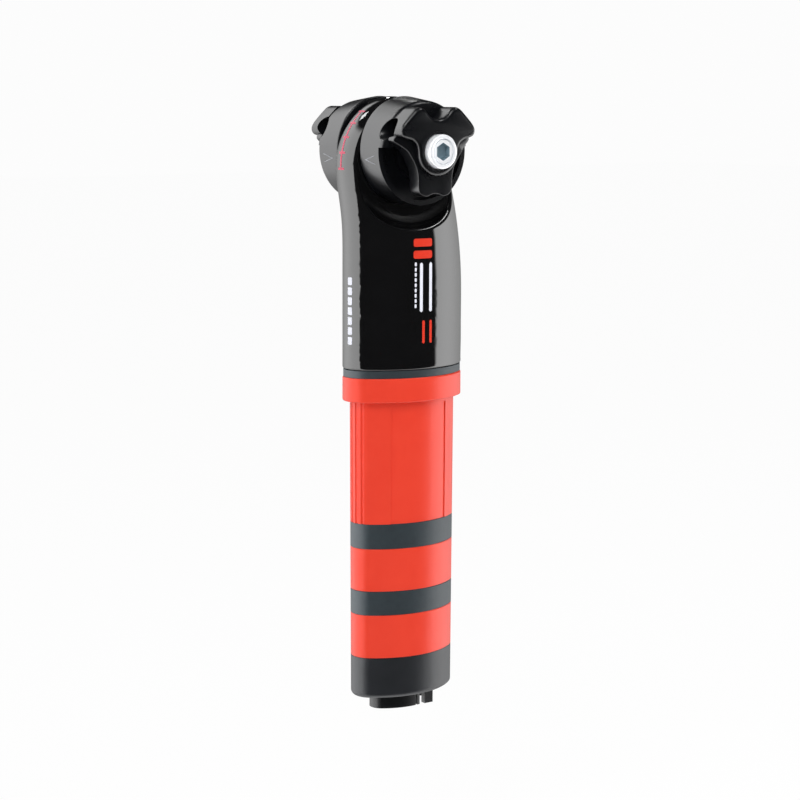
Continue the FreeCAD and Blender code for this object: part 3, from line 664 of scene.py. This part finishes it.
def plate(name, loop, back, front, round_mm, crest_mm=None):
    """A plate of one outline on the right side, extruded outward, its front edge rounded.

    Where crest_mm is given, the rounding grows to it towards the top of the plate.
    """
    bpy.ops.object.select_all(action="DESELECT")
    bpy.ops.mesh.primitive_circle_add(vertices=len(loop), radius=10.0 * MM, fill_type="NGON")
    piece = bpy.context.object
    piece.name = name
    for vertex, (x, z) in zip(piece.data.vertices, loop):
        vertex.co = (PIVOT_X + x * MM, -back * MM, PIVOT_Z + z * MM)
    bpy.ops.object.mode_set(mode="EDIT")
    bpy.ops.mesh.select_all(action="SELECT")
    bpy.ops.mesh.extrude_region_move(
        TRANSFORM_OT_translate={"value": (0.0, -(front - back) * MM, 0.0)})
    bpy.ops.mesh.select_all(action="SELECT")
    bpy.ops.mesh.normals_make_consistent(inside=False)
    bpy.ops.object.mode_set(mode="OBJECT")
    widest = crest_mm or round_mm
    weights = piece.data.attributes.new("bevel_weight_edge", "FLOAT", "EDGE")
    for edge in piece.data.edges:
        ends = [piece.data.vertices[index].co for index in edge.vertices]
        if all(end.y < -(front - TOUCH_MM) * MM for end in ends):
            z = (ends[0].z + ends[1].z) / 2.0 - PIVOT_Z
            share = min(max((z / MM - CREST_START) / CREST_SPAN, 0.0), 1.0)
            weights.data[edge.index].value = (round_mm + (widest - round_mm) * share) / widest
    rounding = piece.modifiers.new("rounded_front", "BEVEL")
    rounding.limit_method = "WEIGHT"
    rounding.width = widest * MM
    rounding.segments = 6
    rounding.use_clamp_overlap = False
    bpy.ops.object.modifier_apply(modifier=rounding.name)
    return piece


# %% [markdown]
# Boolean cuts make the round groove of the rail and the seat of the cup washer, as a
# cutter would, and Boolean unions join the levels. So a helper gives round bars, a
# second one joins or cuts, and a third shades what was made and hands it over.

# %% Helpers: bars, joins and cuts
def rod(name, radius, start, end, axis="Y", centre=(0.0, 0.0), sides=64):
    """A round bar along Y about the clamp axis, or along X over it, between two places."""
    bpy.ops.object.select_all(action="DESELECT")
    middle = (start + end) / 2.0 * MM
    if axis == "Y":
        place = (PIVOT_X, middle, PIVOT_Z)
        turn = (math.pi / 2.0, 0.0, 0.0)
    else:
        place = (PIVOT_X + middle, centre[0] * MM, PIVOT_Z + centre[1] * MM)
        turn = (0.0, math.pi / 2.0, 0.0)
    bpy.ops.mesh.primitive_cylinder_add(
        vertices=sides, radius=radius * MM, depth=abs(end - start) * MM,
        location=place, rotation=turn)
    bpy.ops.object.transform_apply(location=True, rotation=True, scale=True)
    bar = bpy.context.object
    bar.name = name
    return bar


def combine(piece, other, operation):
    """Join another solid to a piece, or cut it away, and drop the other."""
    only(piece)
    step = piece.modifiers.new(operation.lower(), "BOOLEAN")
    step.operation = operation
    step.solver = "EXACT"
    step.object = other
    bpy.ops.object.modifier_apply(modifier=step.name)
    bpy.data.objects.remove(other)


def dress(piece, material, body, replaced=None, sharp_angle=SHARP_ANGLE):
    """Put a modelled piece's place into its mesh, shade it and hand it over."""
    only(piece)
    bpy.ops.object.transform_apply(location=True, rotation=True, scale=True)
    bpy.ops.object.shade_smooth_by_angle(angle=sharp_angle)
    hand_over(piece, material, body, replaced)


# %% [markdown]
# The two outlines of the cap. Their points were measured on the photograph, on the
# front half, from the top to the bottom, and the rear half mirrors them. The first is
# the plate with the wings, and the second the low plate under it.

# %% Outlines of the cap
WING_OUTLINE = [
    (0.0, 12.1), (2.5, 12.6), (4.6, 14.1), (6.2, 15.8), (8.4, 16.6), (10.6, 15.9),
    (12.6, 14.2), (14.9, 12.0), (16.5, 10.2), (17.4, 8.5), (17.4, 6.9), (16.6, 5.7),
    (14.9, 5.0), (12.0, 4.2), (10.0, 2.6), (9.3, 0.4), (8.9, -2.4), (7.5, -5.4),
    (5.2, -7.6), (2.7, -8.8), (0.0, -9.2),
]
BASE_OUTLINE = [
    (0.0, 7.0), (6.0, 7.0), (12.0, 7.0), (16.4, 6.2), (18.0, 4.2), (15.6, 2.3),
    (13.1, 0.3), (11.2, -2.2), (9.4, -5.0), (8.35, -7.9), (8.0, -11.1), (7.9, -14.0),
    (6.8, -16.0), (4.1, -16.9), (1.8, -16.2), (0.0, -15.9),
]
print("outline points", len(WING_OUTLINE), "and", len(BASE_OUTLINE))

# %% [markdown]
# The right cap, put together. The ends of the low plate slope back past the shoulder,
# so their points are moved. A hub behind the plate centres the cap in the disc, and a
# heel behind its tail reaches back towards the disc's rim. The cuts come last, so that
# they go through all that was joined: the rail, the cup washer and the bolt.

# %% Right rail cap
CAP_BACK = 22.1
BASE_FRONT = 27.9
WING_FRONT = 30.2
WING_ROUNDING = 1.25
CREST_ROUNDING = 1.8
BASE_ROUNDING = 0.35
SHOULDER_X = 12.6
SHOULDER_DROP = 0.47
SHOULDER_DEPTH = 1.0
HUB_RADIUS = 9.0
HUB_SPAN = (-16.1, -23.0)
HEEL_SIZE = (10.0, 3.5, 3.2)
HEEL_CENTRE = (0.0, -21.25, -14.1)
RAIL_RADIUS = 3.5
RAIL_SPAN = (-30.0, 30.0)
RAIL_LINE = (-22.05, 9.0)
CUP_POCKET_RADIUS = 7.6
CUP_POCKET_FLOOR = -28.0
BOLT_WAY_RADIUS = 4.25
BOLT_WAY_START = -10.0
OUTSIDE = -40.0

wing_plate = plate("wing_plate", smooth_loop(WING_OUTLINE), CAP_BACK, WING_FRONT,
                   WING_ROUNDING, CREST_ROUNDING)
cap_right = plate("right_rail_cap", smooth_loop(BASE_OUTLINE), CAP_BACK, BASE_FRONT,
                  BASE_ROUNDING)
for vertex in cap_right.data.vertices:
    out = abs(vertex.co.x - PIVOT_X) / MM
    if -vertex.co.y / MM > CAP_BACK + SHOULDER_DEPTH and out > SHOULDER_X:
        vertex.co.y += (out - SHOULDER_X) * SHOULDER_DROP * MM
combine(cap_right, wing_plate, "UNION")
combine(cap_right, rod("hub", HUB_RADIUS, *HUB_SPAN), "UNION")
bpy.ops.object.select_all(action="DESELECT")
heel_x, heel_y, heel_z = [value * MM for value in HEEL_CENTRE]
bpy.ops.mesh.primitive_cube_add(size=1.0, location=(PIVOT_X + heel_x, heel_y, PIVOT_Z + heel_z))
heel = bpy.context.object
heel.scale = [value * MM for value in HEEL_SIZE]
bpy.ops.object.transform_apply(location=True, rotation=True, scale=True)
combine(cap_right, heel, "UNION")
for cutter in (rod("rail_way", RAIL_RADIUS, *RAIL_SPAN, "X", RAIL_LINE),
               rod("cup_pocket", CUP_POCKET_RADIUS, CUP_POCKET_FLOOR, OUTSIDE),
               rod("bolt_way", BOLT_WAY_RADIUS, BOLT_WAY_START, OUTSIDE)):
    combine(cap_right, cutter, "DIFFERENCE")
dress(cap_right, anodised_black, "right_cap", "rail_cap_right")

# %% [markdown]
# The left cap is the same forging seen in a mirror. A copy of the right one is scaled
# by -1 across the middle plane. That turns the shape inside out, so its normals are
# worked out again.

# %% Left rail cap
cap_left = bpy.data.objects.new("left_rail_cap", cap_right.data.copy())
scene.collection.objects.link(cap_left)
only(cap_left)
bpy.ops.object.mode_set(mode="EDIT")
bpy.ops.mesh.select_all(action="SELECT")
bpy.ops.transform.resize(value=(1.0, -1.0, 1.0), center_override=(0.0, 0.0, 0.0))
bpy.ops.mesh.normals_make_consistent(inside=False)
bpy.ops.object.mode_set(mode="OBJECT")
dress(cap_left, anodised_black, "left_cap", "rail_cap_left")

# %% [markdown]
# The cup washers sit in the bosses of the caps with only a thin black ring showing, so
# their copies are turned down to the radius of that pocket, with a little room.

# %% Cup washers
CUP_RADIUS = 7.5
CUP_SPAN = (20.0, 40.0)
for cup, side, body in (("bolt_cup", -1.0, "right_cap"), ("nut_cup", 1.0, "left_cap")):
    start, end = [side * y for y in CUP_SPAN]
    combine(dressed[cup], rod("pocket_size", CUP_RADIUS, start, end), "INTERSECT")
    dress(dressed[cup], anodised_black, body)

# %% [markdown]
# The clamp bolt. It is one turned bar: a round head with a raised rim and a sunk face
# round the key socket, a shank through both caps, and an M8 thread at its far end. A
# lathe makes it in steps, and so does this: a circle is extruded and resized from one
# step to the next.

# %% Helper: a turned piece
def turned(name, steps, sides=72):
    """A solid of revolution about the clamp axis, from (radius, y) steps in mm."""
    bpy.ops.object.select_all(action="DESELECT")
    radius, y = steps[0]
    bpy.ops.mesh.primitive_circle_add(
        vertices=sides, radius=radius * MM, fill_type="NGON",
        location=(PIVOT_X, y * MM, PIVOT_Z), rotation=(math.pi / 2.0, 0.0, 0.0))
    bpy.ops.object.transform_apply(location=True, rotation=True, scale=True)
    piece = bpy.context.object
    piece.name = name
    bpy.ops.object.mode_set(mode="EDIT")
    bpy.ops.mesh.select_all(action="SELECT")
    for next_radius, next_y in steps[1:]:
        bpy.ops.mesh.extrude_region_move(
            TRANSFORM_OT_translate={"value": (0.0, (next_y - y) * MM, 0.0)})
        ratio = next_radius / radius
        bpy.ops.transform.resize(value=(ratio, 1.0, ratio),
                                 center_override=(PIVOT_X, 0.0, PIVOT_Z))
        radius, y = next_radius, next_y
    bpy.ops.mesh.select_all(action="SELECT")
    bpy.ops.mesh.normals_make_consistent(inside=False)
    bpy.ops.object.mode_set(mode="OBJECT")
    return piece


# %% [markdown]
# The steps of the bolt, as (radius, y): the sunk face, the raised rim and the wall of
# the head, its seat, and the shank. The threaded end gets eight rows of points to each
# turn of the thread, so that the next cell can press the groove into them.

# %% Turn the bolt
SHANK_RADIUS = 4.0
TIP_STEP = (3.3, 34.9)
THREAD_START = 29.0
THREAD_END = 34.1
THREAD_PITCH = 1.25
ROWS_PER_TURN = 8
HEAD_STEPS = [
    (3.62, -32.5), (4.42, -32.55), (4.5, -31.9), (4.86, -31.9), (4.95, -32.85),
    (5.05, -32.9), (5.85, -32.9), (6.2, -32.78), (6.42, -32.55), (6.5, -32.2),
    (6.5, -27.9), (SHANK_RADIUS, -27.9),
]
thread_length = THREAD_END - THREAD_START
thread_rows = int(thread_length / THREAD_PITCH * ROWS_PER_TURN)
thread_steps = [(SHANK_RADIUS, THREAD_START + thread_length * row / thread_rows)
                for row in range(thread_rows + 1)]
bolt = turned("clamp_bolt_plated", HEAD_STEPS + thread_steps + [TIP_STEP])
print("thread rows", thread_rows)

# %% [markdown]
# The thread is a helix, 1.25 mm to the turn. The close rows of points are pressed in by
# how far each lies from the crest that passes it: the height along the bolt and the
# angle round it say that together. The key socket is a hexagon 6 mm across its flats,
# cut after that. Its corners are at the radius of 6 mm over the square root of 3.

# %% Thread and key socket
THREAD_DEPTH = 0.62
KEY_ACROSS_FLATS = 6.0
KEY_SOCKET_FLOOR = -29.9
BOLT_SHARP_ANGLE = math.radians(40.0)
for vertex in bolt.data.vertices:
    along = vertex.co.y / MM
    if THREAD_START + TOUCH_MM < along < THREAD_END + TOUCH_MM:
        x, z = vertex.co.x - PIVOT_X, vertex.co.z - PIVOT_Z
        turn_share = math.atan2(z, x) / (2.0 * math.pi)
        phase = (along / THREAD_PITCH - turn_share) % 1.0
        groove = (1.0 - abs(2.0 * phase - 1.0)) * THREAD_DEPTH
        scale = 1.0 - groove / SHANK_RADIUS
        vertex.co.x, vertex.co.z = PIVOT_X + x * scale, PIVOT_Z + z * scale
key_socket = rod("key_socket", KEY_ACROSS_FLATS / math.sqrt(3.0), KEY_SOCKET_FLOOR, OUTSIDE,
                 sides=6)
combine(bolt, key_socket, "DIFFERENCE")
dress(bolt, bright_zinc, "clamp_bolt", "clamp_bolt", BOLT_SHARP_ANGLE)

# %% [markdown]
# One piece, three looks: the head is bright, the walls and the floor of the socket have
# the zinc with painted shade, and the threaded end the dull one. A second and a third
# material are added to the piece, and its faces are told apart by their place.

# %% Finishes on the bolt
BRIGHT, SOCKET_SHADE, DULL = 0, 1, 2
DULL_FROM_Y = 20.0
RECESS_RADIUS = 3.5
RECESS_OUTER_Y = -32.2
RECESS_INNER_Y = -29.0
# The faces inside the socket take the zinc with painted shade.
bolt.data.materials.append(socket_shade_zinc)
bolt.data.materials.append(dull_zinc)
for face in bolt.data.polygons:
    y = face.center.y / MM
    out = math.hypot(face.center.x - PIVOT_X, face.center.z - PIVOT_Z) / MM
    if y > DULL_FROM_Y:
        face.material_index = DULL
    elif out < RECESS_RADIUS and RECESS_OUTER_Y < y < RECESS_INNER_Y:
        face.material_index = SOCKET_SHADE
    else:
        face.material_index = BRIGHT
print("faces in the socket", sum(face.material_index == SOCKET_SHADE for face in bolt.data.polygons))

# %% [markdown]
# The printed marks. Each is a film of ink 0.05 mm thick. A grid is laid near the
# surface, pulled onto it with Shrinkwrap and given its thickness with Solidify, so it
# follows the lacquer round the nose and the crown. A picture on the surface would be
# the other way, but a film has edges that catch the light. The ends of a stripe are
# rounded by drawing its rows in, down to 8% of its width, so that no face closes up.

# %% Helpers: ink on a surface
INK_LIFT = 0.01 * MM
INK_THICKNESS = 0.05 * MM
NARROWEST = 0.08


def laid_ink(sheet, target, ink, body):
    """Pull a flat sheet onto a surface and give it the thickness of ink."""
    only(sheet)
    wrap = sheet.modifiers.new("onto_surface", "SHRINKWRAP")
    wrap.target = target
    wrap.wrap_method = "NEAREST_SURFACEPOINT"
    wrap.wrap_mode = "ABOVE_SURFACE"
    wrap.offset = INK_LIFT
    bpy.ops.object.modifier_apply(modifier=wrap.name)
    film = sheet.modifiers.new("film", "SOLIDIFY")
    film.thickness = INK_THICKNESS
    film.offset = 1.0
    bpy.ops.object.modifier_apply(modifier=film.name)
    dress(sheet, ink, body)


def stripe(name, size, centre, turn):
    """A flat sheet near the place where it is printed, its size (width, height, rounding)."""
    width, height, ends_mm = size
    bpy.ops.object.select_all(action="DESELECT")
    bpy.ops.mesh.primitive_grid_add(x_subdivisions=6, y_subdivisions=40, size=1.0)
    sheet = bpy.context.object
    sheet.name = name
    for vertex in sheet.data.vertices:
        x, y = vertex.co.x * width, vertex.co.y * height
        past = abs(y) - (height / 2.0 - ends_mm)
        if past > 0:
            narrow = math.sqrt(max(1.0 - (past / ends_mm) ** 2, 0.0))
            x *= max(1.0 - 2.0 * ends_mm * (1.0 - narrow) / width, NARROWEST)
        vertex.co = (x * MM, y * MM, 0.0)
    sheet.rotation_euler = turn
    sheet.location = [value * MM for value in centre]
    bpy.ops.object.transform_apply(location=True, rotation=True, scale=True)
    return sheet


# %% [markdown]
# The flanks carry two red blocks, two long white stripes, two low red ones and a row of
# nine short dashes behind them, plain and the same on both sides. Their places and
# sizes were measured on the photograph and are in mm.

# %% Stripes on the flanks
POST_BODY = frame["nodes"]["post_body"]["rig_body"]
FLANK_Y = 16.6
HAIRLINES = 9
HAIRLINE_X = -5.65
HAIRLINE_TOP = 53.6
HAIRLINE_STEP = 2.02
FLANK_MARKS = [
    # name, ink, x, z, (width, height, rounding of the ends)
    ("red_block_upper", red_ink, -2.3, 61.9, (8.7, 3.1, 0.8)),
    ("red_block_lower", red_ink, -2.3, 57.3, (8.7, 3.1, 0.8)),
    ("white_rear", white_ink, -3.05, 44.6, (1.35, 19.2, 0.65)),
    ("white_front", white_ink, 1.4, 44.6, (1.35, 19.2, 0.65)),
    ("red_low_rear", red_ink, -1.95, 27.3, (1.15, 9.0, 0.55)),
    ("red_low_front", red_ink, 1.5, 27.3, (1.15, 9.0, 0.55)),
]
for index in range(HAIRLINES):
    z = HAIRLINE_TOP - index * HAIRLINE_STEP
    FLANK_MARKS.append(("hairline_%d" % index, white_ink, HAIRLINE_X, z, (0.85, 1.45, 0.3)))
for side, side_name in ((-1.0, "right"), (1.0, "left")):
    for mark, ink, x, z, size in FLANK_MARKS:
        sheet = stripe(side_name + "_" + mark, size, (x, side * FLANK_Y, z),
                       (-side * math.pi / 2.0, 0.0, 0.0))
        laid_ink(sheet, post_shell, ink, POST_BODY)

# %% [markdown]
# Down the rear nose of the post runs a line of seven white dashes, a little to the
# right of the middle. One sheet is modelled for each, at its place, and is laid like
# the stripes on the flanks.

# %% Dashes on the rear nose
NOSE_DASHES = 7
NOSE_DASH_SIZE = (2.3, 3.0, 0.5)
NOSE_X, NOSE_Y, NOSE_TOP = -26.5, -1.5, 47.1
NOSE_STEP = 3.85
for index in range(NOSE_DASHES):
    sheet = stripe("nose_dash_%d" % index, NOSE_DASH_SIZE,
                   (NOSE_X, NOSE_Y, NOSE_TOP - index * NOSE_STEP),
                   (math.pi / 2.0, 0.0, -math.pi / 2.0))
    laid_ink(sheet, post_shell, white_ink, POST_BODY)

# %% [markdown]
# The tilt scale at the rear of the crown has five plain ticks on a line, and the rim of
# each disc has a small pointer that runs past them as the clamp tilts. These marks go
# round an arc, so their grids are bent to it point by point before they are laid.

# %% Helper: a sheet round an arc
def arc_sheet(name, arc, start, end):
    """A narrow sheet round an arc: start and end are (angle, low y, high y)."""
    centre_x, centre_z, radius = arc
    bpy.ops.object.select_all(action="DESELECT")
    bpy.ops.mesh.primitive_grid_add(x_subdivisions=4, y_subdivisions=40, size=1.0)
    sheet = bpy.context.object
    sheet.name = name
    for vertex in sheet.data.vertices:
        across, along = vertex.co.x + 0.5, vertex.co.y + 0.5
        angle = math.radians(start[0] + (end[0] - start[0]) * along)
        low = start[1] + (end[1] - start[1]) * along
        high = start[2] + (end[2] - start[2]) * along
        vertex.co = ((centre_x + radius * math.cos(angle)) * MM,
                     (low + (high - low) * across) * MM,
                     (centre_z + radius * math.sin(angle)) * MM)
    if end[0] < start[0]:
        # Against the turn of the arc the faces come out inside out.
        only(sheet)
        bpy.ops.object.mode_set(mode="EDIT")
        bpy.ops.mesh.select_all(action="SELECT")
        bpy.ops.mesh.flip_normals()
        bpy.ops.object.mode_set(mode="OBJECT")
    return sheet


# %% [markdown]
# The scale is laid out by angle, as a real one is, on an arc near the crown: a line
# from the first tick to the last, and ticks 3.8 mm long across it.

# %% Tilt scale
# An arc is its centre's x and z, and its radius.
CROWN_ARC = (-2.11, 90.92, 27.5)
TICK_ANGLES = [130.2 + 12.85 * step for step in range(5)]
TICK_HALF_ANGLE = 0.9
TICK_HALF_LENGTH = 1.9
LINE_HALF_WIDTH = 0.45

scale_marks = [("scale_line", TICK_ANGLES[0], TICK_ANGLES[-1], LINE_HALF_WIDTH)]
for index, angle in enumerate(TICK_ANGLES):
    scale_marks.append(("scale_tick_%d" % index, angle - TICK_HALF_ANGLE,
                        angle + TICK_HALF_ANGLE, TICK_HALF_LENGTH))
for name, first, last, half_width in scale_marks:
    sheet = arc_sheet(name, CROWN_ARC, (first, -half_width, half_width),
                      (last, -half_width, half_width))
    laid_ink(sheet, post_shell, scale_ink, POST_BODY)

# %% [markdown]
# Each pointer is an open arrowhead: two thin arms that part from a tip near the scale.
# The arc of the disc's rim has its centre on the clamp axis, so the marks ride round
# with the disc.

# %% Pointers on the discs
DISC_ARC = (-5.4, 97.1, 20.8)
POINTER_ANGLE = 189.0
POINTER_SPREAD = 4.5
TIP_Y = (10.5, 11.4)
FAR_Y = (16.2, 17.1)
for side, side_name in ((-1.0, "right"), (1.0, "left")):
    tip = sorted(side * y for y in TIP_Y)
    far = sorted(side * y for y in FAR_Y)
    for arm, spread in (("upper", -POINTER_SPREAD), ("lower", POINTER_SPREAD)):
        sheet = arc_sheet(side_name + "_pointer_" + arm, DISC_ARC, (POINTER_ANGLE, *tip),
                          (POINTER_ANGLE + spread, *far))
        laid_ink(sheet, dressed["clamp_disc_" + side_name], grey_ink, "clamp")

# %% [markdown]
# The inner solids hardly show: the draw nut through the slots of the spine, and the
# bolt from below. Their shapes are right as they are, so they keep their own meshes
# and only get a finish.

# %% Finishes for the inner solids
INNER_FINISHES = {
    "pivot_liner": nylon, "friction_ring_left": nylon, "friction_ring_right": nylon,
    "draw_nut": black_spine, "draw_washer": dull_zinc, "draw_bolt": dull_zinc,
    "cross_sleeve": dull_zinc,
}
for name, material in INNER_FINISHES.items():
    data = frame["nodes"][name].data
    data.materials.clear()
    data.materials.append(material)
print("inner solids", len(INNER_FINISHES))

# %% [markdown]
# Last, nothing is left selected. The dressing should keep the size of the solids, but
# for the thickness of the ink.

# %% Finish
bpy.ops.object.select_all(action="DESELECT")
